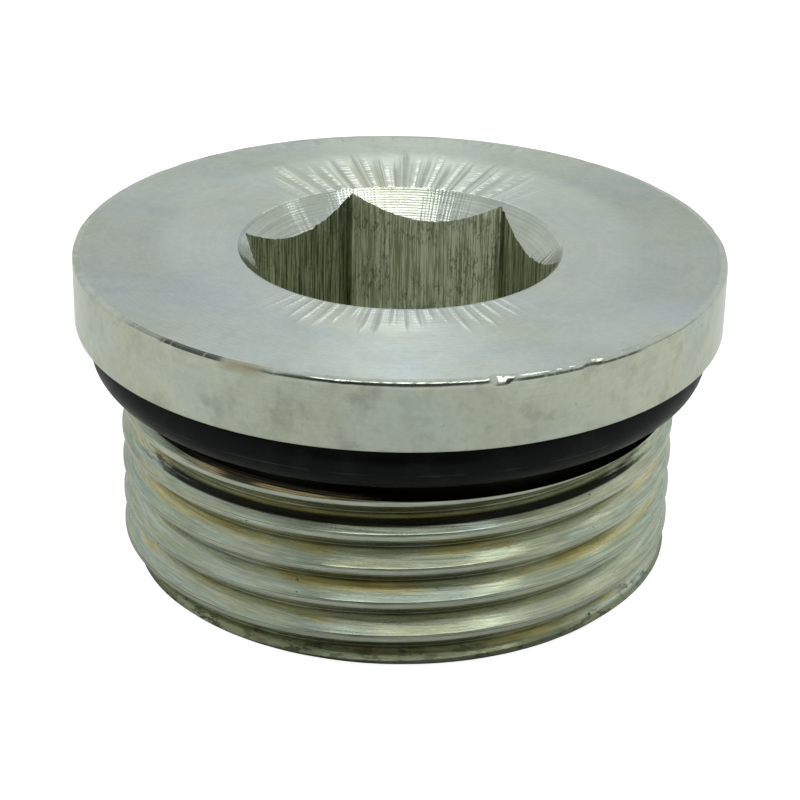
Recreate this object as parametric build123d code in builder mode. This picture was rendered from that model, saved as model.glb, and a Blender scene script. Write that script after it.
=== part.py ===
"""Hollow-hex straight-thread plug with its O-ring, the SAE J1926-2 / ISO 11926-2 pattern in size 16.

A steel body is turned to a disc head, an O-ring neck and a stud, drilled and broached with a hex
socket, and given a 1 5/16-12 UN right-hand thread. A nitrile O-ring lies round the neck, under the
head, where it seals in the chamfer of the port.

Frame: origin at the centre of the stud's end face, on which the plug stands, +Z up the axis to the
head, +X through one corner of the hex socket. Millimetres.
"""

import os
from math import ceil, cos, pi, radians, tan

from build123d import *

# ---------------------------------------------------------------- driving dimensions
# Head and stud
HEAD_DIAMETER = 38.1
HEAD_THICKNESS = 4.05
HEAD_TOP_BREAK = 0.15  # on the rim of the top face
HEAD_LOWER_BREAK = 0.1  # on the rim of the underside
STUD_LENGTH = 15.05  # from the underside of the head to the end face

# Thread: 60 degree Unified form, 12 to the inch, right hand
THREAD_MAJOR_DIAMETER = 33.0
THREAD_PITCH = 25.4 / 12
THREAD_FLANK_ANGLE = 30.0  # between a flank and a plane across the axis
THREAD_DEPTH = 1.18  # from crest to root
THREAD_CREST_FLAT = 0.4
THREAD_CREST_DIRECTION = -79.0  # round the axis from +X, the direction in which a crest lies ...
THREAD_CREST_DEPTH = 10.52  # ... this far below the top face
THREAD_TOOL_OVERRUN = 0.25  # how far the thread's cutter stands out of the stud
END_DIAMETER = 31.1  # where the lead chamfer meets the end face
END_CHAMFER_ANGLE = 45.0  # from the axis

# Neck for the O-ring, between the head and the thread
NECK_DIAMETER = 30.5
NECK_LENGTH = 4.2
NECK_CORNER = 0.25  # chamfer in the corner under the head

# O-ring, as it is when stretched on the neck and pushed up to the head
RING_SECTION = 2.96
RING_SECTION_SIDES = 14  # the round section is drawn with short sides, one of them lying on the neck
RING_HEAD_GAP = 0.03  # from the head's underside to the ring

# Hex socket
KEY_SIZE = 16.0
KEY_CLEARANCE = 0.2  # the socket's width across flats, less the key's
SOCKET_DEPTH = 10.5  # from the top face to the lower end of the broached flats
SOCKET_CORNER_RADIUS = 0.25
COUNTERSINK_DIAMETER = 19.0
COUNTERSINK_ANGLE = 82.0
PILOT_ALLOWANCE = 0.4  # the socket's width across flats, less the pilot drill's diameter
PILOT_RUNOUT = 1.2  # how much deeper than the flats the pilot goes, room for the broach's chip
DRILL_POINT_ANGLE = 118.0

# ---------------------------------------------------------------- sizes that follow
top_z = STUD_LENGTH + HEAD_THICKNESS
head_radius = HEAD_DIAMETER / 2
neck_radius = NECK_DIAMETER / 2
major_radius = THREAD_MAJOR_DIAMETER / 2
end_radius = END_DIAMETER / 2
shoulder_z = STUD_LENGTH - NECK_LENGTH
lead_height = (major_radius - end_radius) / tan(radians(END_CHAMFER_ANGLE))

socket_width = KEY_SIZE + KEY_CLEARANCE
countersink_radius = COUNTERSINK_DIAMETER / 2
pilot_radius = (socket_width - PILOT_ALLOWANCE) / 2
pilot_floor_z = top_z - SOCKET_DEPTH - PILOT_RUNOUT
drill_tip_z = pilot_floor_z - pilot_radius / tan(radians(DRILL_POINT_ANGLE / 2))
countersink_foot_z = top_z - (countersink_radius - pilot_radius) / tan(radians(COUNTERSINK_ANGLE / 2))

# ---------------------------------------------------------------- thread cutter
# A helical bar with the section of the groove between two crests. Its path starts over +X, below
# the end face, and runs out in the open space of the neck.
crest_z = top_z - THREAD_CREST_DEPTH - THREAD_CREST_DIRECTION / 360 * THREAD_PITCH
groove_z = crest_z - THREAD_PITCH / 2
path_start_z = groove_z - ceil(groove_z / THREAD_PITCH + 1) * THREAD_PITCH
path_end_z = shoulder_z + NECK_LENGTH / 2
flank_spread = tan(radians(THREAD_FLANK_ANGLE))  # axial run of a flank for each millimetre of depth
groove_half_width = (THREAD_PITCH - THREAD_CREST_FLAT) / 2 + THREAD_TOOL_OVERRUN * flank_spread
root_half_width = (THREAD_PITCH - THREAD_CREST_FLAT) / 2 - THREAD_DEPTH * flank_spread

with BuildPart() as thread_cutter:
    with BuildLine() as thread_path:
        Helix(THREAD_PITCH, path_end_z - path_start_z, major_radius, center=(0, 0, path_start_z))
    with BuildSketch(Plane.XZ) as groove_section:
        with BuildLine():
            Polyline(
                (major_radius - THREAD_DEPTH, path_start_z - root_half_width),
                (major_radius + THREAD_TOOL_OVERRUN, path_start_z - groove_half_width),
                (major_radius + THREAD_TOOL_OVERRUN, path_start_z + groove_half_width),
                (major_radius - THREAD_DEPTH, path_start_z + root_half_width),
                close=True,
            )
        make_face()
    sweep(path=thread_path.line, is_frenet=True)

# ---------------------------------------------------------------- plug body
with BuildPart() as plug_body:
    # the turned outline, from the axis at the end face out to the head and back
    with BuildSketch(Plane.XZ) as turned_outline:
        with BuildLine():
            Polyline(
                (0, 0),
                (end_radius, 0),
                (major_radius, lead_height),
                (major_radius, shoulder_z),
                (neck_radius, shoulder_z),
                (neck_radius, STUD_LENGTH),
                (head_radius, STUD_LENGTH),
                (head_radius, top_z),
                (0, top_z),
                close=True,
            )
        make_face()
    revolve(axis=Axis.Z)
    rims = plug_body.edges().filter_by(GeomType.CIRCLE)
    chamfer(rims.filter_by_position(Axis.Z, top_z, top_z), HEAD_TOP_BREAK)
    under_head = plug_body.edges().filter_by(GeomType.CIRCLE).filter_by_position(
        Axis.Z, STUD_LENGTH, STUD_LENGTH
    )
    chamfer(under_head.sort_by(SortBy.RADIUS)[-1], HEAD_LOWER_BREAK)
    chamfer(under_head.sort_by(SortBy.RADIUS)[0], NECK_CORNER)

    # drilled and countersunk, then broached
    with BuildSketch(Plane.XZ) as bored_outline:
        with BuildLine():
            Polyline(
                (0, top_z),
                (countersink_radius, top_z),
                (pilot_radius, countersink_foot_z),
                (pilot_radius, pilot_floor_z),
                (0, drill_tip_z),
                close=True,
            )
        make_face()
    revolve(axis=Axis.Z, mode=Mode.SUBTRACT)
    with BuildSketch(Plane.XY.offset(top_z)) as hexagon:
        RegularPolygon(radius=socket_width / 2, side_count=6, major_radius=False)
        fillet(hexagon.vertices(), SOCKET_CORNER_RADIUS)
    extrude(amount=-SOCKET_DEPTH, mode=Mode.SUBTRACT)

    add(thread_cutter.part, mode=Mode.SUBTRACT)

plug_body.part.label = "plug_body"

# ---------------------------------------------------------------- O-ring
ring_centre_radius = neck_radius + RING_SECTION / 2
ring_z = STUD_LENGTH - RING_HEAD_GAP - RING_SECTION / 2 / cos(pi / RING_SECTION_SIDES)

with BuildPart() as o_ring:
    with BuildSketch(Plane.XZ) as ring_section:
        with Locations((ring_centre_radius, ring_z)):
            RegularPolygon(
                radius=RING_SECTION / 2,
                side_count=RING_SECTION_SIDES,
                major_radius=False,
                rotation=180 / RING_SECTION_SIDES,
            )
    revolve(axis=Axis.Z)

o_ring.part.label = "o_ring"

# ---------------------------------------------------------------- files
os.makedirs("parts", exist_ok=True)
export_step(plug_body.part, "parts/plug_body.step")
export_step(o_ring.part, "parts/o_ring.step")
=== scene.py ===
"""Looks of a hex socket port plug: zinc-plated turned steel with its O-ring, on a pale floor.

The skin of the plug is one closed surface. At each angle round the axis it follows the metal's outline, from
the foot of the socket up and over the head and down the stud, and all of its rows are whole numpy arrays.
Lengths are in millimetres until a surface is made, and Blender's own are in metres. Angles round the axis
count from +X, anticlockwise from above.
"""

from math import cos, pi, radians, sin, tan

import bmesh
import bpy
import numpy as np
from mathutils import Matrix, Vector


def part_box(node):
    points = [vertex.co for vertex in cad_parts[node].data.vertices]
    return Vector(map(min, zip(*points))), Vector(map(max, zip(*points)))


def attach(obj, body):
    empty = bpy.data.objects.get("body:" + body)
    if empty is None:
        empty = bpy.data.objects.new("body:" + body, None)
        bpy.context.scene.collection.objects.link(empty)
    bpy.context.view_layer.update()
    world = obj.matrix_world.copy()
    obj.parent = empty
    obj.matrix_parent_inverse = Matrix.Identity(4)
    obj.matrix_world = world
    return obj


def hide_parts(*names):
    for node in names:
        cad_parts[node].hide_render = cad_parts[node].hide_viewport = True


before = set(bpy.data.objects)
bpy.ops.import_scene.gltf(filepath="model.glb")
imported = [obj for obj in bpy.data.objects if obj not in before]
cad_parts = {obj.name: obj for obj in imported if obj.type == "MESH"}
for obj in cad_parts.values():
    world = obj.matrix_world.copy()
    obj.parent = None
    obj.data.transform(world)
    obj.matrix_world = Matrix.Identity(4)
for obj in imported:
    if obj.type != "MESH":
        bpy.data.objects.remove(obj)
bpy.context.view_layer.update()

MM = 0.001
FRONT = radians(-79)  # angle round the axis that the camera looks from

# ---------------------------------------------------------------- sizes, read from the frame or named
body_low, body_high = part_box("plug_body")
ring_low, ring_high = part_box("o_ring")
TOP = body_high.z / MM
HEAD_RADIUS = min(body_high.x, body_high.y, -body_low.x, -body_low.y) / MM
RING_OUTER = min(ring_high.x, ring_high.y, -ring_low.x, -ring_low.y) / MM
RING_LOW, RING_HIGH = ring_low.z / MM, ring_high.z / MM
RING_MIDDLE = (RING_LOW + RING_HIGH) / 2

HEAD_THICKNESS = 4.05
HEAD_FOOT = TOP - HEAD_THICKNESS
NECK_RADIUS = 15.25
NECK_LENGTH = 4.2
NECK_FOOT = HEAD_FOOT - NECK_LENGTH
THREAD_RADIUS = 16.5
THREAD_PITCH = 25.4 / 12
FRONT_CREST = TOP - 10.52  # height of one crest's middle at the front
CREST_OVER_X = FRONT_CREST - THREAD_PITCH * FRONT / (2 * pi)  # height of the same crest over +X
END_RADIUS = 15.55
SOCKET_HALF_WIDTH = 8.1
SOCKET_CORNER = 0.25
SOCKET_DEPTH = 10.5
SOCKET_FLOOR = TOP - SOCKET_DEPTH
PILOT_RADIUS = 7.9
PILOT_DEPTH = 1.2  # below the hexagon
PILOT_FLOOR = SOCKET_FLOOR - PILOT_DEPTH
DRILL_HALF_ANGLE = radians(59)
DRILL_TIP = PILOT_FLOOR - PILOT_RADIUS / tan(DRILL_HALF_ANGLE)
SINK_RADIUS = 9.5
SINK_SLOPE = tan(radians(41))  # radius gained by the cone for each millimetre of height

# ---------------------------------------------------------------- angles round the axis
# More columns near the six corners of the socket, whose small radius needs them.
COLUMNS = 600
CORNER_CROWDING = 0.5
fraction = np.linspace(0, 1, COLUMNS + 1)
turn = 2 * pi * fraction - CORNER_CROWDING / 6 * np.sin(12 * pi * fraction)


def wrapped(angle):
    """An angle brought to between -180 and 180 degrees, in radians."""
    return (angle + pi) % (2 * pi) - pi


def ripple(seed, waves, low=1):
    """A smooth random wave round the axis that meets itself: a sum of cosines with whole numbers of waves
    a turn, random phases, and a spread of about one."""
    rng = np.random.default_rng(seed)
    count = np.arange(low, waves + 1)
    size = rng.normal(size=count.size)
    phase = rng.uniform(0, 2 * pi, count.size)
    return (size[:, None] * np.cos(count[:, None] * turn + phase[:, None])).sum(0) / count.size**0.5


def rows(points):
    """A stack of rows from (radius, height) pairs, each a number or an array over the columns."""
    radius = np.array([np.broadcast_to(r, turn.shape) for r, _ in points], float)
    height = np.array([np.broadcast_to(z, turn.shape) for _, z in points], float)
    return radius, height


# ---------------------------------------------------------------- socket
def hexagon_radius():
    """Distance from the axis to the hexagon at each angle: half the width over the cosine of the angle from
    the nearest flat's middle, and at a corner the far side of a small circle that touches both flats."""
    from_corner = (turn + pi / 6) % (pi / 3) - pi / 6
    flat = SOCKET_HALF_WIDTH / np.cos(pi / 6 - np.abs(from_corner))
    centre = (SOCKET_HALF_WIDTH - SOCKET_CORNER) / cos(pi / 6)
    reach = np.sqrt(np.maximum(SOCKET_CORNER**2 - (centre * np.sin(from_corner)) ** 2, 0))
    missed = 10 * (reach == 0)  # far enough that a ray which misses the circle ends on the flat
    return np.minimum(flat, centre * np.cos(from_corner) + reach + missed)


def socket_rows():
    """Drill point, pilot, broached flats and countersink. The flats carry grooves drawn by the broach's
    teeth: each column is set in or out by random waves, some of which fade in and out down the wall. Their
    upper edge is where they meet the cone, so it hangs in a scallop on every flat, made ragged by the same
    grooves."""
    wall_rows, deepest = 18, 0.06
    share = np.linspace(0, 1, wall_rows)[:, None]
    coarse, fine, torn = ripple(11, 110, 20), ripple(12, 290, 110), ripple(13, 290, 60)
    fading = 0.6 + 0.4 * np.sin(9 * share + 2 * ripple(14, 24))
    tearing = np.clip(np.sin(23 * share + 3 * ripple(15, 40)), 0, 1)
    grooves = 0.014 * coarse + 0.012 * fine * fading + 0.012 * torn * tearing
    wall = hexagon_radius() + np.minimum(grooves, deepest) * np.minimum(share * 8, 1)
    edge = TOP - (SINK_RADIUS - wall[-1]) / SINK_SLOPE - 0.03 * np.abs(ripple(16, 290, 120))
    wall_height = SOCKET_FLOOR + (edge - SOCKET_FLOOR) * share

    across = np.array([0.03, 0.15, 0.3, 0.5, 0.7, 0.86, 0.94, 0.975])[:, None]
    lip = 0.01 * ripple(17, 200, 8) + 0.012 * ripple(18, 290, 150)
    cone = wall[-1] + (SINK_RADIUS - wall[-1]) * across
    cone_height = edge + (TOP - edge) * across

    low = rows([(0, DRILL_TIP), (PILOT_RADIUS * 0.5, (DRILL_TIP + PILOT_FLOOR) / 2),
                (PILOT_RADIUS - 0.1, PILOT_FLOOR - 0.06), (PILOT_RADIUS, PILOT_FLOOR + 0.05),
                (PILOT_RADIUS, SOCKET_FLOOR - 0.05), (PILOT_RADIUS + 0.04, SOCKET_FLOOR)])
    high = rows([(SINK_RADIUS - 0.012 + lip, TOP - 0.014), (SINK_RADIUS + 0.008 + lip, TOP)])
    return low, (wall, wall_height), (cone, cone_height), high


# ---------------------------------------------------------------- head
# Knocks on the rim of the top face: direction round the axis in degrees, half length and depth.
RIM_KNOCKS = (
    (-62.5, 0.45, 0.20), (-57.2, 0.9, 0.07), (-46.6, 0.5, 0.26), (-44.6, 0.2, 0.1), (-53.0, 0.25, 0.06),
    (-50.8, 0.2, 0.07), (-99.5, 0.25, 0.05), (-88.0, 0.2, 0.05), (-119.0, 0.35, 0.05), (-142.0, 0.3, 0.05),
    (62.0, 0.5, 0.03), (151.0, 0.6, 0.03), (20.0, 0.4, 0.05),
)
# The break's section: share of its width left outside, and depth in widths, where it is whole and where a
# knock has flattened it.
BREAK_SECTION = (
    (1.0, 0.02, 0.02), (0.8, 0.2, 0.2), (0.42, 0.63, 0.62), (0.16, 1.3, 0.93), (0.04, 2.0, 1.12),
    (0.0, 2.9, 1.3),
)


def head_rows():
    """Top face, its broken rim, the side, the lower rim, the underside and the neck. The break is a bevel
    whose width wanders and grows towards the front, and each knock widens it by a bell curve of the distance
    along the rim."""
    near = np.exp(-((wrapped(turn + radians(80)) / 0.8) ** 2))
    break_width = 0.1 + 0.014 * ripple(21, 60, 2) + 0.06 * near
    knocked = 0.0 * turn
    for direction, half_length, depth in RIM_KNOCKS:
        along = HEAD_RADIUS * wrapped(turn - radians(direction))
        bell = np.exp(-((along / half_length) ** 4))
        break_width = break_width + depth * bell
        knocked = np.maximum(knocked, bell)
    inner = HEAD_RADIUS - break_width
    face = rows([(SINK_RADIUS + (inner - 0.02 - SINK_RADIUS) * t, TOP) for t in (0.03, 0.3, 0.7, 0.97)])
    side_wave = np.minimum(0.002 * ripple(22, 30), 0)
    rim = rows([(HEAD_RADIUS - share * break_width + (side_wave if share == 0 else 0),
                 TOP - break_width * (whole + (flattened - whole) * knocked))
                for share, whole, flattened in BREAK_SECTION])
    side = rows([(HEAD_RADIUS + side_wave, TOP - HEAD_THICKNESS * t) for t in (0.35, 0.65, 0.94)])
    lower = rows([
        (HEAD_RADIUS + side_wave, HEAD_FOOT + 0.12), (HEAD_RADIUS - 0.02, HEAD_FOOT + 0.05),
        (HEAD_RADIUS - 0.09, HEAD_FOOT + 0.005), (HEAD_RADIUS - 0.2, HEAD_FOOT), (17.0, HEAD_FOOT),
        (NECK_RADIUS + 0.3, HEAD_FOOT), (NECK_RADIUS + 0.12, HEAD_FOOT - 0.05),
        (NECK_RADIUS, HEAD_FOOT - 0.25), (NECK_RADIUS, NECK_FOOT + 1.5), (NECK_RADIUS, NECK_FOOT + 0.01),
    ])
    return face, rim, side, lower


# ---------------------------------------------------------------- thread
def ridge_section():
    """Half the section of one thread ridge, from the middle of its crest to the middle of its root, as
    (distance along the axis, depth below the crest). Plating and wear have rounded the crest's edges and
    filled the root, so the outer part of the flank lies flatter than the rest."""
    points = np.array([(0, 0), (0.11, 0), (0.16, 0.01), (0.205, 0.04), (0.25, 0.09), (0.5, 0.385),
                       (0.8, 0.74), (0.9, 0.885), (0.97, 1.005), (1.02, 1.05), (1.0585, 1.06)])
    return points[:, 0], points[:, 1]


def thread_radius(height):
    """Radius of the stud at a height, for every column: the ridge's section at the distance from the nearest
    crest, whose height climbs by one pitch a turn, cut off by the lead chamfer at the end."""
    along, depth = ridge_section()
    half = THREAD_PITCH / 2
    from_crest = np.abs((height - CREST_OVER_X - THREAD_PITCH * turn / (2 * pi) + half) % THREAD_PITCH - half)
    radius = THREAD_RADIUS - np.interp(from_crest, along, depth)
    chamfer_height = np.array([0, 0.03, 0.1, 0.9, 1.02])
    chamfer_radius = END_RADIUS + np.array([-0.1, -0.02, 0.1, 0.9, 0.99])
    chamfer = np.interp(height, chamfer_height, chamfer_radius)
    return np.minimum(radius, np.where(height > chamfer_height[-1], THREAD_RADIUS, chamfer))


def thread_rows():
    """The thread from the shoulder down to the end face. Each row runs along the helix at one place of the
    ridge's section, climbing one pitch a turn, so crests and flanks stay crisp. Rows past the shoulder or the
    end face are held at its height, where they fall together."""
    along, _ = ridge_section()
    one_pitch = np.concatenate([-along[::-1], along[1:-1]])[::-1]
    first = int(np.ceil((NECK_FOOT - CREST_OVER_X) / THREAD_PITCH)) + 1
    last = int(np.floor(-CREST_OVER_X / THREAD_PITCH)) - 2
    starts = CREST_OVER_X + THREAD_PITCH * np.arange(first, last - 1, -1)
    height = (starts[:, None] + one_pitch).reshape(-1, 1) + THREAD_PITCH * turn / (2 * pi)
    height = np.clip(height, 0, NECK_FOOT)
    keep = (height < NECK_FOOT).any(1) & (height > 0).any(1)
    height = np.vstack([np.full(turn.shape, NECK_FOOT), height[keep], np.zeros(turn.shape)])
    return thread_radius(height), height


# ---------------------------------------------------------------- O-ring
def ring_rows():
    """The O-ring's section carried round the axis: a circle a few hundredths smaller than the solid's,
    pressed flat where it grips the neck."""
    points = 65  # round the section
    section_radius = (RING_HIGH - RING_LOW) / 2 - 0.03
    centre_radius = RING_OUTER - 0.01 - section_radius
    along = -np.linspace(pi, 3 * pi, points)[:, None]
    radius = centre_radius + section_radius * np.cos(along) + 0.0 * turn
    height = RING_MIDDLE + section_radius * np.sin(along) + 0.0 * turn
    return np.maximum(radius, NECK_RADIUS + 0.005), height


# ---------------------------------------------------------------- making a skin
MERGE_DISTANCE = 1e-6  # metres
SHARP_ANGLE = radians(38)


def linked(made):
    """An object put into the scene."""
    bpy.context.scene.collection.objects.link(made)
    return made


def skin(name, sections, finishes):
    """A closed surface from stacked rows, one face between each two rows and two columns. sections is
    [(rows, finish number)], in order along the outline. A face has the finish of the second of its two rows,
    and rows that fall together are merged."""
    radius = np.vstack([r for (r, _), _ in sections])
    height = np.vstack([z for (_, z), _ in sections])
    finish = np.concatenate([np.full(len(r), k) for (r, _), k in sections])
    rows_count, columns = radius.shape
    place = np.stack([radius * np.cos(turn), radius * np.sin(turn), height], -1).reshape(-1, 3) * MM
    index = np.arange(rows_count * columns).reshape(rows_count, columns)
    quads = np.stack([index[:-1, :-1], index[1:, :-1], index[1:, 1:], index[:-1, 1:]], -1).reshape(-1, 4)

    mesh = bpy.data.meshes.new(name)
    mesh.vertices.add(len(place))
    mesh.vertices.foreach_set("co", place.ravel())
    mesh.loops.add(quads.size)
    mesh.loops.foreach_set("vertex_index", quads.ravel())
    mesh.polygons.add(len(quads))
    mesh.polygons.foreach_set("loop_start", np.arange(len(quads)) * 4)
    mesh.polygons.foreach_set("material_index", np.repeat(finish[1:], columns - 1))
    mesh.update()
    for material in finishes:
        mesh.materials.append(material)

    shell = bmesh.new()
    shell.from_mesh(mesh)
    bmesh.ops.remove_doubles(shell, verts=shell.verts, dist=MERGE_DISTANCE)
    bmesh.ops.dissolve_degenerate(shell, edges=shell.edges, dist=MERGE_DISTANCE)
    shell.to_mesh(mesh)
    shell.free()
    mesh.set_sharp_from_angle(angle=SHARP_ANGLE)
    return linked(bpy.data.objects.new(name, mesh))


# ---------------------------------------------------------------- shader nodes
def node(tree, kind, inputs=None, **settings):
    """A shader node with its settings and its inputs, each a number, a colour or another node's output."""
    made = tree.nodes.new(kind)
    for key, value in settings.items():
        setattr(made, key, value)
    for key, value in (inputs or {}).items():
        if isinstance(value, bpy.types.NodeSocket):
            tree.links.new(value, made.inputs[key])
        else:
            made.inputs[key].default_value = value
    return made


def math_node(tree, operation, a, b=0.0, c=0.0):
    """One step of arithmetic, such as ADD or ABSOLUTE."""
    return node(tree, "ShaderNodeMath", {0: a, 1: b, 2: c}, operation=operation).outputs[0]


def times(tree, *factors):
    """The product of two or more values."""
    product = factors[0]
    for factor in factors[1:]:
        product = math_node(tree, "MULTIPLY", product, factor)
    return product


def plus(tree, a, b):
    """Two values added."""
    return math_node(tree, "ADD", a, b)


def scaled(tree, vector, factor):
    """A colour or a place times one number."""
    return node(tree, "ShaderNodeVectorMath", {0: vector, "Scale": factor}, operation="SCALE").outputs[0]


def stretched(tree, vector, factors):
    """A colour or a place whose three parts are each times a number of their own."""
    return node(tree, "ShaderNodeVectorMath", {0: vector, 1: factors}, operation="MULTIPLY").outputs[0]


def measured(tree, operation, a, b=(0, 0, 0)):
    """One number from vectors: LENGTH, DISTANCE or DOT_PRODUCT."""
    return node(tree, "ShaderNodeVectorMath", {0: a, 1: b}, operation=operation).outputs["Value"]


def ranged(tree, value, low, high, to_low=0.0, to_high=1.0, smooth=True):
    """value mapped from low..high to to_low..to_high, held at both ends."""
    return node(tree, "ShaderNodeMapRange", {0: value, 1: low, 2: high, 3: to_low, 4: to_high},
                interpolation_type="SMOOTHSTEP" if smooth else "LINEAR", clamp=True).outputs[0]


def band(tree, value, rise, fall):
    """1 between two edges and 0 outside them. rise and fall are each where that edge begins and ends."""
    return times(tree, ranged(tree, value, *rise), ranged(tree, value, *fall, 1.0, 0.0))


def noise(tree, place, scale, detail, roughness=0.5, distortion=0.0):
    """Noise round 0.5. scale is how fast it changes, as one number or as one for each part of the place."""
    if isinstance(scale, tuple):
        place, scale = stretched(tree, place, scale), 1.0
    return node(tree, "ShaderNodeTexNoise", {"Vector": place, "Scale": scale, "Detail": detail,
                                             "Roughness": roughness, "Distortion": distortion}).outputs[0]


def noise_along(tree, value, scale, detail):
    """Noise round 0.5 that changes with one value alone."""
    inputs = {"W": value, "Scale": scale, "Detail": detail}
    return node(tree, "ShaderNodeTexNoise", inputs, noise_dimensions="1D").outputs[0]


def blended(tree, amount, a, b):
    """The colour a where amount is 0 and the colour b where it is 1."""
    return node(tree, "ShaderNodeMix", {0: amount, 6: a, 7: b}, data_type="RGBA").outputs[2]


def layered(tree, colour, layers):
    """A colour with others laid over it in turn, each a (mask, colour) that covers where its mask is 1."""
    for mask, over in layers:
        colour = blended(tree, mask, colour, over)
    return colour


def raised(tree, height, distance, under=None):
    """A bump whose height of 1 stands distance millimetres high, over another bump if one is given."""
    bump = node(tree, "ShaderNodeBump", {"Height": height, "Distance": distance * MM, "Strength": 1.0})
    if under is not None:
        tree.links.new(under, bump.inputs["Normal"])
    return bump.outputs[0]


def wire(tree, to, **values):
    """Links values to the inputs of a node that have the same names, with _ for a space."""
    for key, value in values.items():
        tree.links.new(value, to.inputs[key.replace("_", " ")])


def new_finish(name, **constants):
    """A material with a Principled shader whose plain numbers are set here."""
    material = bpy.data.materials.new(name)
    material.use_nodes = True
    shader = material.node_tree.nodes["Principled BSDF"]
    for key, value in constants.items():
        shader.inputs[key.replace("_", " ")].default_value = value
    return material, material.node_tree, shader


def new_turned_finish(name, drawn_out):
    """Metal whose highlights are drawn out, by 0 to 1, across tool marks that run round the axis."""
    material, tree, shader = new_finish(name, Metallic=1.0, Anisotropic=drawn_out, Anisotropic_Rotation=0.25)
    wire(tree, shader, Tangent=node(tree, "ShaderNodeTangent", direction_type="RADIAL", axis="Z").outputs[0])
    return material, tree, shader


def millimetres(tree):
    """Where a point is in its object, in millimetres."""
    return scaled(tree, node(tree, "ShaderNodeTexCoord").outputs["Object"], 1 / MM)


# ---------------------------------------------------------------- node groups
def new_group(name, inputs, outputs):
    """A node group with sockets of these names and kinds. Returns its tree, the values that it is given, and
    the node that takes what it puts out."""
    tree = bpy.data.node_groups.new(name, "ShaderNodeTree")
    for label, kind in inputs.items():
        tree.interface.new_socket(label, in_out="INPUT", socket_type="NodeSocket" + kind)
    for label, kind in outputs.items():
        tree.interface.new_socket(label, in_out="OUTPUT", socket_type="NodeSocket" + kind)
    return tree, node(tree, "NodeGroupInput").outputs, node(tree, "NodeGroupOutput")


def plating_group():
    """Zinc plate: colour that drifts between pale grey green, straw and cool grey, with fine mottling, and a
    grain for the bump. Inputs: Where (millimetres), Pale, Straw, Cool. Outputs: Colour, Grain."""
    tree, given, result = new_group(
        "zinc_plate",
        {"Where": "Vector", "Pale": "Color", "Straw": "Color", "Cool": "Color"},
        {"Colour": "Color", "Grain": "Float"},
    )
    where = given["Where"]
    to_straw = noise(tree, where, 0.11, 3.0, 0.55)
    to_cool = noise(tree, where, 0.19, 2.0, distortion=0.4)
    mottle = noise(tree, where, 2.6, 4.0, 0.65)
    smudge = noise(tree, where, 0.4, 4.0, 0.6, 0.5)
    colour = layered(tree, given["Pale"], (
        (ranged(tree, to_straw, 0.47, 0.68, 0, 0.55), given["Straw"]),
        (ranged(tree, to_cool, 0.48, 0.7, 0, 0.6), given["Cool"]),
    ))
    light = times(tree, ranged(tree, mottle, 0.3, 0.7, 0.955, 1.03),
                  ranged(tree, smudge, 0.3, 0.6, 0.95, 1.02))
    wire(tree, result, Colour=scaled(tree, colour, light), Grain=noise(tree, where, 14.0, 3.0))
    return tree


def turned_place_group():
    """Where a point is for turned work, in millimetres and radians. Input: Where. Outputs: Radius, Height and
    Angle; Reach, the radius and height added, which counts tool marks over faces, cylinders and cones; and
    two vectors that change slowly round the axis and fast with the reach (Marks) or the height (Run)."""
    tree, given, result = new_group(
        "turned_place",
        {"Where": "Vector"},
        {"Radius": "Float", "Height": "Float", "Angle": "Float", "Reach": "Float", "Marks": "Vector",
         "Run": "Vector"},
    )
    across, back, height = node(tree, "ShaderNodeSeparateXYZ", {0: given["Where"]}).outputs
    flat = node(tree, "ShaderNodeCombineXYZ", {0: across, 1: back}).outputs[0]
    radius = measured(tree, "LENGTH", flat)
    reach = plus(tree, radius, height)
    outward = node(tree, "ShaderNodeVectorMath", {0: flat}, operation="NORMALIZE").outputs[0]
    cosine, sine, _ = node(tree, "ShaderNodeSeparateXYZ", {0: outward}).outputs
    marks = node(tree, "ShaderNodeCombineXYZ", {0: reach, 1: cosine, 2: sine}).outputs[0]
    run = node(tree, "ShaderNodeCombineXYZ", {0: height, 1: cosine, 2: sine}).outputs[0]
    angle = math_node(tree, "ARCTAN2", back, across)
    wire(tree, result, Radius=radius, Height=height, Angle=angle, Reach=reach, Marks=marks, Run=run)
    return tree


PLATING = plating_group()
TURNED_PLACE = turned_place_group()
PLATE_COLOURS = {
    "Pale": (0.61, 0.63, 0.535, 1), "Straw": (0.62, 0.61, 0.46, 1), "Cool": (0.57, 0.61, 0.57, 1),
}


def zinc_plate(tree, where):
    """The plating's outputs at a place."""
    return node(tree, "ShaderNodeGroup", {"Where": where, **PLATE_COLOURS}, node_tree=PLATING).outputs


def turned_place(tree, where):
    """The outputs for turned work at a place."""
    return node(tree, "ShaderNodeGroup", {"Where": where}, node_tree=TURNED_PLACE).outputs


# ---------------------------------------------------------------- lathe-cut finishes
# Chatter: the middle of its zone on the top face, and how far apart its flutes are round the axis.
CHATTER_CENTRE = (-0.25, 1.3, 0)
CLOSE_FLUTE, WIDE_FLUTE, FINE_FLUTE = radians(3.9), radians(5.75), radians(1.44)
# Dark lines along the near rim: ends in degrees from the front and how soft they are, how far the line starts
# and stops below the top face, and how dark it is. One that starts above the face is whole up to its edge.
RIM_LINES = (
    (-42, -29, 1, -0.1, 0.11, 0.95), (-51, -41, 2, -0.1, 0.06, 0.45), (-21, -5, 2, 0.1, 0.18, 0.6),
    (19, 43, 2, 0.12, 0.24, 0.85), (43, 60, 4, 0.08, 0.14, 0.4),
)


def saw(tree, turns):
    """How far a point is from the middle of its groove, from -1 to 1. turns counts grooves."""
    return math_node(tree, "MULTIPLY_ADD", math_node(tree, "FRACT", turns), 2.0, -1.0)


def cusps(tree, turns, depth):
    """Grooves left by a round-nosed tool: the square of the distance from the middle of each groove, times
    depth. turns counts grooves along the surface."""
    across = saw(tree, turns)
    return times(tree, across, across, depth)


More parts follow.
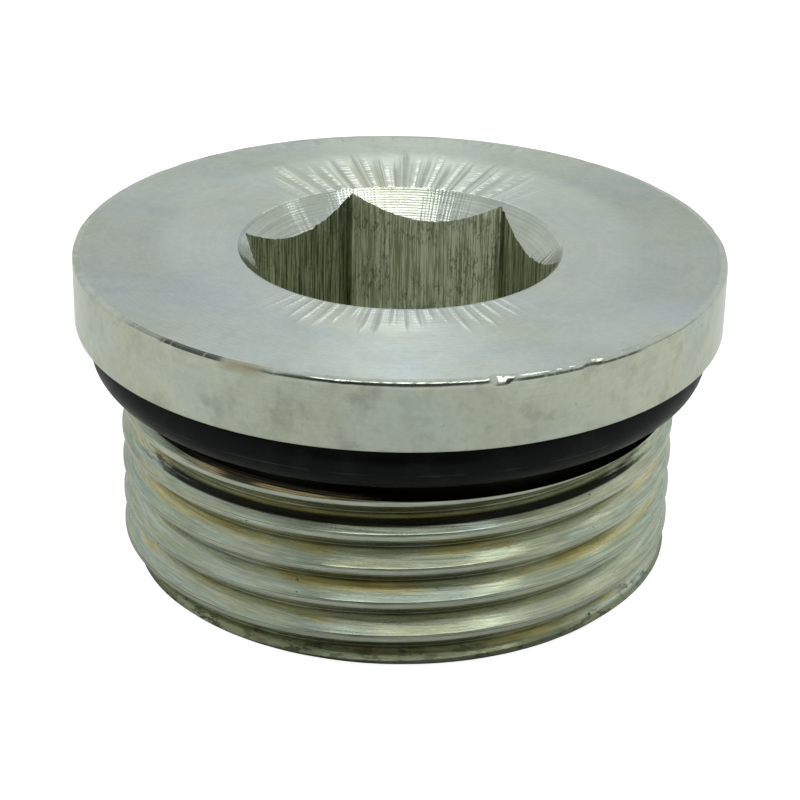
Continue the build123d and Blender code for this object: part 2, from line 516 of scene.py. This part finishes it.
def cusp_depth(slope, spacing):
    """The depth of cusps whose edges are as steep as slope: a square's own edges rise by 4 a spacing."""
    return slope * spacing / 4


def from_front(tree, place):
    """The angle round the axis from the front, anticlockwise from above."""
    return math_node(tree, "SUBTRACT", place["Angle"], FRONT)


def chatter(tree, place):
    """Shallow flutes like the spokes of a wheel, where the facing tool shook: close together on the near
    side, wider apart on the far one. Returns how many flutes there are from the front, the angle from the
    front either way, and the depth in millimetres, which grows with the radius so that the slope stays the
    same."""
    away = math_node(tree, "ABSOLUTE", math_node(tree, "WRAP", from_front(tree, place), pi, -pi))
    near = math_node(tree, "DIVIDE", math_node(tree, "MINIMUM", away, pi / 2), CLOSE_FLUTE)
    past_side = math_node(tree, "MAXIMUM", math_node(tree, "SUBTRACT", away, pi / 2), 0.0)
    flutes = plus(tree, near, math_node(tree, "MULTIPLY_ADD", past_side, 1 / WIDE_FLUTE, 0.5))
    uneven = ranged(tree, noise_along(tree, place["Angle"], 25.0, 2.0), 0.3, 0.7, -0.1, 0.1)
    close = times(tree, ranged(tree, away, radians(30), radians(46), 1.0, 0.0), cusp_depth(0.26, CLOSE_FLUTE))
    wide = times(tree, ranged(tree, away, radians(128), radians(160)), cusp_depth(0.17, WIDE_FLUTE))
    return plus(tree, flutes, uneven), away, times(tree, plus(tree, close, wide), place["Radius"])


def near_rim_marks(tree, place):
    """Layers along the near rim of the head: broken dark lines, and a brown band between two of
    them."""
    angle = from_front(tree, place)
    outer = math_node(tree, "GREATER_THAN", place["Radius"], HEAD_RADIUS - 0.4)

    def length(start, end, soft):
        """1 on the rim between two directions, in degrees from the front, with ends this soft."""
        rise = radians(start - soft), radians(start + soft)
        fall = radians(end - soft), radians(end + soft)
        return times(tree, outer, band(tree, angle, rise, fall))

    breaks = noise_along(tree, angle, 80.0, 3.0)
    layers = []
    for start, end, soft, upper, lower, amount in RIM_LINES:
        low, high = TOP - lower, TOP - upper
        width = band(tree, place["Height"], (low - 0.03, low), (high - 0.03, high + 0.02))
        broken = ranged(tree, breaks, 0.3, 0.45, amount * 0.6, amount)
        layers.append((times(tree, width, broken, length(start, end, soft)), (0.07, 0.075, 0.055, 1)))
    brown_band = ranged(tree, place["Height"], TOP - 0.6, TOP - 0.2, 0, 0.7)
    layers.append((times(tree, brown_band, length(-29, -21.5, 2.2)), (0.37, 0.31, 0.17, 1)))
    return layers


def side_marks(tree, where, place, colour, grooves):
    """The side of the head and all that is turned below it: mottled and smudged plating, broken dark lines
    and a brown band along the near rim, small dark specks, and a neck painted dark as shade under the head and
    ring."""
    height = place["Height"]
    mottle = noise(tree, where, 0.8, 5.0, 0.65)
    smudge = noise(tree, where, 0.45, 5.0, 0.58)
    specks = noise(tree, where, 2.4, 2.0, distortion=0.6)
    # Painted shade: the neck under the head and the ring is darkened.
    neck = times(tree, ranged(tree, height, HEAD_FOOT - 0.1, HEAD_FOOT - 0.3),
                 math_node(tree, "GREATER_THAN", height, NECK_FOOT - 0.1))
    colour = layered(tree, colour, (
        (ranged(tree, mottle, 0.48, 0.62, 0, 0.13), (0.2, 0.2, 0.15, 1)),
        (ranged(tree, smudge, 0.54, 0.68, 0, 0.25), (0.16, 0.16, 0.12, 1)),
        *near_rim_marks(tree, place),
        (ranged(tree, specks, 0.71, 0.76, 0, 0.4), (0.2, 0.2, 0.15, 1)),
        (neck, (0.1, 0.095, 0.075, 1)),
    ))
    return colour, 0.12, grooves


def sink_marks(tree, where, place, colour, grooves):
    """The countersink and the pilot: fine chatter all round, strong over a stretch at the back, where the
    colour is painted brighter as a highlight, and faint elsewhere."""
    strongest, faint = radians(98), 0.15
    off = math_node(tree, "ABSOLUTE", math_node(tree, "SUBTRACT", place["Angle"], strongest))
    strength = ranged(tree, off, radians(22), radians(34), 1.0, faint)
    depth = times(tree, strength, cusp_depth(0.1, FINE_FLUTE * SINK_RADIUS))
    fine = cusps(tree, math_node(tree, "DIVIDE", place["Angle"], FINE_FLUTE), depth)
    # Painted highlight: the colour is lighter where the chatter is strong.
    colour = scaled(tree, colour, ranged(tree, strength, faint, 1.0, 1.0, 1.2))
    return colour, 0.13, plus(tree, grooves, fine)


def face_marks(tree, where, place, colour, grooves):
    """The top face: chatter round the socket with ragged ends, a duller band outside it that is darker at the
    back, and faint chatter again at the far rim. The far flutes carry painted glints in beads, and the near
    side is painted bluer as a reflection tint."""
    across, back, _ = node(tree, "ShaderNodeSeparateXYZ", {0: where}).outputs
    flat = node(tree, "ShaderNodeCombineXYZ", {0: across, 1: back}).outputs[0]
    out = measured(tree, "DISTANCE", flat, CHATTER_CENTRE)
    rough = ranged(tree, out, 12.2, 15.0, 0.32, 0.5)
    darker = times(tree, ranged(tree, back, 4.0, 12.0), ranged(tree, out, 12.6, 14.6, 0, 0.14))
    colour = blended(tree, darker, colour, (0, 0, 0, 1))
    # Painted reflection: the near side is tinted bluer.
    painted_bluer_reflection = stretched(tree, colour, (0.99, 1.0, 1.07))
    colour = blended(tree, ranged(tree, back, 4.0, -8.0, 0.2, 1.0), colour, painted_bluer_reflection)

    flutes, away, depth = chatter(tree, place)
    ragged = ranged(tree, noise(tree, place["Marks"], (0.0, 7.0, 7.0), 2.0), 0.3, 0.7, -0.7, 1.7)
    out = plus(tree, out, ragged)
    at_far_rim = times(tree, ranged(tree, away, radians(100), radians(130)),
                       ranged(tree, place["Radius"], 17.5, 18.3, 0, 0.3))
    share = math_node(tree, "MAXIMUM", ranged(tree, out, 11.8, 14.4, 1.0, 0.0), at_far_rim)
    grooves = plus(tree, grooves, cusps(tree, flutes, times(tree, depth, share)))

    # On the far side the middle of each flute is painted brighter in beads as a glint, and its edges are
    # duller.
    far = times(tree, ranged(tree, away, radians(134), radians(156)), ranged(tree, out, 11.4, 14.8, 1.0, 0.0))
    beads = ranged(tree, noise(tree, place["Marks"], (6.5, 12.0, 12.0), 2.0), 0.44, 0.6)
    from_middle = math_node(tree, "ABSOLUTE", saw(tree, flutes))
    painted_glints = math_node(tree, "MULTIPLY_ADD", ranged(tree, from_middle, 0.08, 0.42, 1.0, 0.0), beads, -0.04)
    colour = scaled(tree, colour, math_node(tree, "MULTIPLY_ADD", painted_glints, far, 1.0))
    duller = times(tree, far, ranged(tree, from_middle, 0.4, 0.75, 0, 0.24))
    return colour, plus(tree, rough, duller), grooves


def turned_finish(name, feed, slope, shade, dress):
    """Lathe-cut metal: grooves one feed apart whose edges are as steep as slope, in rings of which the
    darkest is shade times the plating's colour. dress adds what else the surface has: it is given the place,
    the colour and the grooves, and returns the colour, the roughness and the grooves."""
    material, tree, shader = new_turned_finish(name, 0.9)
    where = millimetres(tree)
    place = turned_place(tree, where)
    rings = noise(tree, place["Marks"], (9.0, 1.4, 1.4), 2.0)
    colour = scaled(tree, zinc_plate(tree, where)["Colour"], ranged(tree, rings, 0.25, 0.75, shade, 1.02))
    grooves = cusps(tree, math_node(tree, "DIVIDE", place["Reach"], feed), cusp_depth(slope, feed))
    colour, rough, grooves = dress(tree, where, place, colour, grooves)
    rough = times(tree, rough, ranged(tree, rings, 0.3, 0.7, 0.94, 1.06))
    wire(tree, shader, Base_Color=colour, Roughness=rough, Normal=raised(tree, grooves, 1.0))
    return material


# ---------------------------------------------------------------- broached finish
def broached_finish():
    """Flats cut by a broach: long grooves down the wall, torn here and there, pale where they shine and dark
    olive between, painted as highlight and shade. The far flat is painted lighter, with painted shade beyond
    each of its corners, and the near side is painted palest, as light for the other flats to reflect."""
    material, tree, shader = new_finish("broached_zinc", Metallic=1.0)
    where = millimetres(tree)
    fine = noise(tree, where, (12.0, 12.0, 0.3), 4.0, 0.7)
    broad = noise(tree, where, (2.4, 2.4, 0.06), 3.0)
    depth = plus(tree, times(tree, fine, 0.75), times(tree, broad, 0.25))
    tears = ranged(tree, noise(tree, where, (6.0, 6.0, 2.0), 5.0, 0.6, 1.0), 0.52, 0.6)
    torn = times(tree, tears, ranged(tree, noise(tree, where, 0.5, 2.0), 0.42, 0.58))
    pale = ranged(tree, depth, 0.43, 0.57)

    back = measured(tree, "DOT_PRODUCT", turned_place(tree, where)["Marks"], (0, 0, 1))
    # Painted light and shade: the far flat lighter, painted shade beyond its corners, and the near side
    # palest.
    far = ranged(tree, back, cos(radians(30.3)), cos(radians(29.7)))
    edge = math_node(tree, "SUBTRACT", ranged(tree, back, cos(radians(35)), cos(radians(32.5))), far)
    near = ranged(tree, back, -0.3, -0.5)
    painted_light_flats = math_node(tree, "MAXIMUM", far, near)
    between = blended(tree, far, (0.13, 0.15, 0.08, 1), (0.49, 0.52, 0.34, 1))
    between = blended(tree, near, between, (0.9, 0.93, 0.8, 1))
    shine = blended(tree, painted_light_flats, (0.8, 0.84, 0.62, 1), (1.0, 1.0, 0.84, 1))
    colour = layered(tree, between, (
        (pale, shine),
        (times(tree, torn, 0.6), (0.18, 0.2, 0.1, 1)),
        (times(tree, edge, 0.5), (0.12, 0.14, 0.07, 1)),
    ))
    rough = math_node(tree, "MULTIPLY_ADD", painted_light_flats, 0.2, ranged(tree, pale, 0, 1, 0.5, 0.38, smooth=False))
    normal = raised(tree, depth, 0.016, raised(tree, torn, -0.025))
    wire(tree, shader, Base_Color=colour, Roughness=rough, Normal=normal)
    return material


# ---------------------------------------------------------------- threaded finish
def ridge_layers(tree, place, ridge, clouds):
    """Colours of the plating over each ridge: olive roots with gold patches, grey-green flanks, pale crests,
    a dark line of painted shade at the bottom of each groove and a thin seam along each crest, under a cool
    and warm sheen.
    ridge is the height above the crest's middle."""
    patches = noise(tree, place["Run"], (0.7, 2.0, 2.0), 3.0)
    sheen = noise(tree, place["Run"], (1.4, 2.6, 2.6), 2.0)
    root = math_node(tree, "MAXIMUM", ranged(tree, ridge, 0.42, 0.62), ranged(tree, ridge, -0.16, -0.3))
    groove = math_node(tree, "MAXIMUM", ranged(tree, ridge, 0.9, 0.98), ranged(tree, ridge, -0.85, -0.95))
    flank = band(tree, ridge, (0.12, 0.2), (0.5, 0.66))
    crest = band(tree, ridge, (-0.2, -0.15), (0.12, 0.17))
    seam = band(tree, ridge, (0.06, 0.085), (0.11, 0.135))
    return (
        (times(tree, root, 0.8), (0.5, 0.53, 0.37, 1)),
        (times(tree, root, ranged(tree, patches, 0.45, 0.6, 0, 0.85)), (0.6, 0.52, 0.24, 1)),
        (times(tree, flank, 0.8), (0.385, 0.435, 0.3, 1)),
        (times(tree, flank, ranged(tree, clouds, 0.5, 0.66, 0, 0.6)), (0.48, 0.54, 0.44, 1)),
        (times(tree, flank, ranged(tree, patches, 0.5, 0.4, 0, 0.65)), (0.54, 0.53, 0.33, 1)),
        (times(tree, crest, 0.3), (0.6, 0.66, 0.52, 1)),
        # Painted shade: a dark line at the bottom of each groove.
        (times(tree, groove, 0.85), (0.16, 0.17, 0.1, 1)),
        (times(tree, seam, ranged(tree, clouds, 0.35, 0.55, 0.25, 0.75)), (0.12, 0.13, 0.09, 1)),
        (ranged(tree, sheen, 0.54, 0.68, 0, 0.3), (0.5, 0.57, 0.57, 1)),
        (ranged(tree, sheen, 0.44, 0.34, 0, 0.3), (0.62, 0.57, 0.47, 1)),
    )


def threaded_finish():
    """Thread under the plating, with fine lines that run along the helix, painted lighter on its right side.
    At the front the first flank is painted black as the ring's shade and dark reflection, and the shoulder
    above it is painted dark as the ring's reflection, with a strip of painted golden glints. The lead chamfer
    is painted darker as shade, dirt has caught on it, and there are a few pits."""
    material, tree, shader = new_turned_finish("threaded_zinc", 0.6)
    where = millimetres(tree)
    plate, place = zinc_plate(tree, where), turned_place(tree, where)
    height, angle = place["Height"], from_front(tree, place)
    crest_height = math_node(tree, "MULTIPLY_ADD", angle, THREAD_PITCH / (2 * pi), FRONT_CREST)
    above = math_node(tree, "SUBTRACT", height, crest_height)
    ridge = math_node(tree, "WRAP", above, THREAD_PITCH / 2, -THREAD_PITCH / 2)

    lines = noise(tree, place["Run"], (9.0, 2.2, 2.2), 3.0)
    hair = noise(tree, place["Run"], (24.0, 9.0, 9.0), 2.0)
    clouds = noise(tree, place["Run"], (1.6, 4.0, 4.0), 4.0, 0.6)
    streaks = noise(tree, where, (0.5, 0.5, 9.0), 4.0, 0.7)
    # Random tone, and painted light: the side 40 to 60 degrees right of the front is lighter.
    tone_and_painted_light = times(tree, ranged(tree, lines, 0.25, 0.75, 0.86, 1.05),
                 ranged(tree, streaks, 0.3, 0.7, 0.82, 1.1),
                 ranged(tree, hair, 0.35, 0.65, 0.86, 1.06),
                 ranged(tree, angle, 0.7, 1.05, 1.0, 1.16))
    colour = scaled(tree, layered(tree, plate["Colour"], ridge_layers(tree, place, ridge, clouds)), tone_and_painted_light)

    # Painted shade and dark reflection of the ring: the first flank at the front is painted black.
    ragged = ranged(tree, streaks, 0.3, 0.7, -0.16, 0.16, smooth=False)
    reach = ranged(tree, plus(tree, math_node(tree, "ABSOLUTE", angle), ragged), 0.84, 1.2, 1.0, 0.0)
    painted_ring_shade = times(tree, band(tree, above, (0.46, 0.54), (0.78, 0.96)), reach)
    # Painted reflection: the shoulder at the front is painted dark as the ring mirrored in it.
    shoulder = times(tree, ranged(tree, height, NECK_FOOT - 0.03, NECK_FOOT - 0.02),
                     band(tree, angle, (-0.95, -0.75), (1.0, 1.15)))
    # A strip of painted golden glints on dark, on the shoulder left of the front. The strip is also less
    # metallic, rougher and more deeply lined.
    glint_strip = times(tree, ranged(tree, above, THREAD_PITCH + 0.1, THREAD_PITCH + 0.14),
                   ranged(tree, place["Radius"], 15.8, 15.95), band(tree, angle, (-0.85, -0.6), (-0.2, 0.02)))
    glint_lines = ranged(tree, noise(tree, place["Marks"], (8.0, 2.0, 2.0), 2.0), 0.44, 0.56)
    gold = blended(tree, glint_lines, (0.1, 0.075, 0.035, 1), (0.72, 0.54, 0.26, 1))
    # Painted shade: the lead chamfer near the floor is darkened olive.
    chamfer = times(tree, ranged(tree, height, 0.95, 1.05, 1.0, 0.0), ranged(tree, ridge, -0.3, 0.3))
    low_down = ranged(tree, plus(tree, height, times(tree, clouds, 3.0)), 1.6, 3.2, 1.0, 0.0)
    dirt = times(tree, ranged(tree, noise(tree, where, (0.9, 0.9, 2.6), 5.0, 0.75), 0.5, 0.57), low_down)
    pits = ranged(tree, noise(tree, where, (1.5, 1.5, 3.2), 2.0), 0.74, 0.77)
    colour = layered(tree, colour, (
        (times(tree, painted_ring_shade, 0.97), (0.01, 0.011, 0.008, 1)),
        (shoulder, (0.05, 0.05, 0.04, 1)),
        (glint_strip, gold),
        (times(tree, chamfer, 0.75), (0.17, 0.19, 0.11, 1)),
        (times(tree, dirt, 0.9), (0.06, 0.05, 0.02, 1)),
        (pits, (0.03, 0.035, 0.02, 1)),
    ))

    metallic = math_node(tree, "MULTIPLY_ADD", glint_strip, -0.85, 1.0)
    rough = math_node(tree, "MAXIMUM", ranged(tree, lines, 0.3, 0.7, 0.18, 0.3), times(tree, glint_strip, 0.35))
    normal = raised(tree, pits, -0.02, raised(tree, plate["Grain"], 0.0015))
    line_height = times(tree, lines, math_node(tree, "MULTIPLY_ADD", glint_strip, 0.25, 0.0045))
    wire(tree, shader, Base_Color=colour, Metallic=metallic, Roughness=rough,
         Normal=raised(tree, line_height, 1.0, normal))
    return material


# ---------------------------------------------------------------- rubber finish
def rubber_finish():
    """Moulded nitrile: near black with a soft sheen, handling smudges, a fine grain, and the thin line that
    the mould left a little below the ring's middle."""
    material, tree, shader = new_finish("seal_rubber", Metallic=0.0, Specular_IOR_Level=0.11)
    where = millimetres(tree)
    smudge = noise(tree, where, 0.5, 5.0, 0.6)
    grain = noise(tree, where, 9.0, 4.0)
    _, _, height = node(tree, "ShaderNodeSeparateXYZ", {0: where}).outputs
    from_line = math_node(tree, "ABSOLUTE", math_node(tree, "SUBTRACT", height, RING_MIDDLE - 0.25))
    mould_line = times(tree, ranged(tree, from_line, 0.02, 0.05, 1.0, 0.0), ranged(tree, smudge, 0.4, 0.6))
    colour = layered(tree, (0.004, 0.004, 0.0045, 1), (
        (ranged(tree, smudge, 0.45, 0.72), (0.012, 0.0125, 0.012, 1)),
        (mould_line, (0.03, 0.031, 0.03, 1)),
    ))
    rough = ranged(tree, smudge, 0.35, 0.7, 0.3, 0.46)
    wire(tree, shader, Base_Color=colour, Roughness=rough, Normal=raised(tree, grain, 0.004))
    return material


# ---------------------------------------------------------------- the two pieces
FACED, BORED, TURNED, BROACHED, THREADED = range(5)  # places in the plug's list of finishes

bottom, wall, cone, lip = socket_rows()
face, rim, side, lower = head_rows()
end = rows([(END_RADIUS - 0.35, 0), (END_RADIUS * 0.6, 0), (END_RADIUS * 0.25, 0), (0, 0)])
plug_skin = skin(
    "plug_skin",
    [(bottom, BORED), (wall, BROACHED), (cone, BORED), (lip, BORED), (face, FACED), (rim, TURNED),
     (side, TURNED), (lower, TURNED), (thread_rows(), THREADED), (end, TURNED)],
    [turned_finish("faced_zinc", feed=0.36, slope=0.1, shade=0.97, dress=face_marks),
     turned_finish("bored_zinc", feed=0.24, slope=0.035, shade=0.76, dress=sink_marks),
     turned_finish("turned_zinc", feed=0.16, slope=0.03, shade=0.97, dress=side_marks),
     broached_finish(), threaded_finish()],
)
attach(plug_skin, "root")
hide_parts("plug_body")

ring_skin = skin("o_ring_skin", [(ring_rows(), 0)], [rubber_finish()])
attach(ring_skin, "root")
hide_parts("o_ring")

# ---------------------------------------------------------------- studio
CAMERA_ELEVATION = radians(25.6)
CAMERA_DISTANCE = 142.65
CAMERA_ROLL = 0.0197
CAMERA_AIM = np.array([0.905, -3.83, TOP - 8.2])
CAMERA_LENS = 109.9
FLOOR_RADIUS = 2000
FLOOR_DROP = 0.02  # below the plug's end face
FLOOR_DIM = 50  # from the axis forward to the middle of the floor's dim part
LAMP_DISTANCE = 400
TUBE_RADIANCE = 2.4
# Lamps beside the plug: direction to the right of the camera and rise, in degrees, and height of the tube.
SIDE_TUBES = ((44, 53, 50), (55, 60, 24), (67, 57, 20), (110, 45, 50), (133, 38, 40))

UP = np.array([0.0, 0.0, 1.0])
FORWARD = np.array([cos(FRONT), sin(FRONT), 0.0])  # level, towards the camera
RIGHT = np.array([-sin(FRONT), cos(FRONT), 0.0])


def toward(around, rise):
    """A direction from the head: around to the right from the camera's side, and rise above level."""
    return (FORWARD * cos(around) + RIGHT * sin(around)) * cos(rise) + UP * sin(rise)


def axes_to_matrix(right, up, back, place):
    """A matrix that turns an object's own axes to these directions and puts it at a place in millimetres."""
    return Matrix([[right[k], up[k], back[k], place[k] * MM] for k in range(3)] + [[0, 0, 0, 1]])


def make_camera():
    """A camera at the front, aimed at CAMERA_AIM and rolled a little."""
    back = toward(0, CAMERA_ELEVATION)
    up = np.cross(back, RIGHT)
    rolled_right = cos(CAMERA_ROLL) * RIGHT + sin(CAMERA_ROLL) * up
    rolled_up = cos(CAMERA_ROLL) * up - sin(CAMERA_ROLL) * RIGHT
    data = bpy.data.cameras.new("camera")
    data.lens, data.sensor_width = CAMERA_LENS, 36
    data.clip_start, data.clip_end = 0.01, 20
    camera = linked(bpy.data.objects.new("camera", data))
    camera.matrix_world = axes_to_matrix(rolled_right, rolled_up, back, CAMERA_AIM + back * CAMERA_DISTANCE)
    bpy.context.scene.camera = camera


def make_floor():
    """A disc under the plug. What the camera sees of it is paler than what it throws onto the metal, which
    is dimmer in front of the plug as a painted shadow."""
    mesh = bpy.data.meshes.new("floor")
    corners = 96
    around = np.linspace(0, 2 * pi, corners, endpoint=False)
    radius = FLOOR_RADIUS * MM
    edge = [(radius * cos(a), radius * sin(a), -FLOOR_DROP * MM) for a in around]
    mesh.from_pydata(edge, [], [list(range(corners))])
    material, tree, shader = new_finish("floor_paper", Roughness=0.9, Specular_IOR_Level=0.1,
                                        Emission_Strength=1.0)
    seen = node(tree, "ShaderNodeLightPath").outputs["Is Camera Ray"]
    away = measured(tree, "DISTANCE", millimetres(tree), tuple(FORWARD * FLOOR_DIM))
    # Painted shadow: what the floor throws onto the metal is dimmer in front of the plug.
    thrown = blended(tree, ranged(tree, away, 20, 70), (0.72, 0.72, 0.665, 1), (0.9, 0.89, 0.825, 1))
    wire(tree, shader, Base_Color=blended(tree, seen, thrown, (0.5, 0.48, 0.47, 1)),
         Emission_Color=blended(tree, seen, (0, 0, 0, 1), (0.93, 0.93, 0.93, 1)))
    mesh.materials.append(material)
    linked(bpy.data.objects.new("floor", mesh))


def make_world():
    """An even tent, paler high up behind the plug, with a dark opening on the camera's side."""
    world = bpy.data.worlds.new("studio")
    bpy.context.scene.world = world
    world.use_nodes = True
    tree = world.node_tree
    look = node(tree, "ShaderNodeTexCoord").outputs["Generated"]
    behind = measured(tree, "DOT_PRODUCT", look, tuple(toward(pi, radians(60)) - RIGHT * 0.09))
    opening = measured(tree, "DOT_PRODUCT", look, tuple(toward(0, radians(30))))
    tent = layered(tree, (0.65, 0.7, 0.72, 1), (
        (ranged(tree, behind, 0.88, 0.995), (1.07, 1.16, 1.19, 1)),
        (ranged(tree, opening, 0.6, 0.95), (0.06, 0.065, 0.06, 1)),
    ))
    sky = tree.nodes["Background"]
    sky.inputs["Strength"].default_value = 1.0
    wire(tree, sky, Color=tent)


def lamp(name, width, length, radiance, place, upward):
    """A rectangular lamp at a place, in millimetres from the middle of the top face. It faces that point,
    with its length along upward. Its energy is four times its radiance times its area."""
    back = place / np.linalg.norm(place)
    right = np.cross(upward, back)
    right = right / np.linalg.norm(right)
    data = bpy.data.lights.new(name, "AREA")
    data.shape, data.color = "RECTANGLE", (0.94, 1.0, 1.0)
    data.size, data.size_y = width * MM, length * MM
    data.energy = 4 * radiance * data.size * data.size_y
    made = linked(bpy.data.objects.new(name, data))
    made.matrix_world = axes_to_matrix(right, np.cross(back, right), back, place + UP * TOP)


def make_lamps():
    """A bright panel of long tubes above the camera, short tubes round to the right, and a slim tube behind
    the plug that the grooves of the top face draw out into streaks."""
    tubes, spacing, rise = 12, 27.5, radians(55.5)
    for k in range(tubes):
        place = LAMP_DISTANCE * toward(0, rise) + RIGHT * (k - (tubes - 1) / 2) * spacing
        lamp(f"tube_{k}", 19, 100, TUBE_RADIANCE, place, toward(pi, pi / 2 - rise))
    for k, (around, rise, length) in enumerate(SIDE_TUBES):
        place = LAMP_DISTANCE * toward(radians(around), radians(rise))
        lamp(f"side_tube_{k}", 60, length, TUBE_RADIANCE, place, UP)
    distance, offset, rise = 380, -3, radians(58)
    lamp("slim_tube", 20, 150, 5.0, distance * toward(pi, rise) + RIGHT * offset, toward(0, pi / 2 - rise))


make_camera()
make_floor()
make_world()
make_lamps()
bpy.context.scene.view_settings.view_transform = "Standard"
bpy.context.scene.view_settings.look = "None"
bpy.context.scene.view_settings.exposure = 0.0
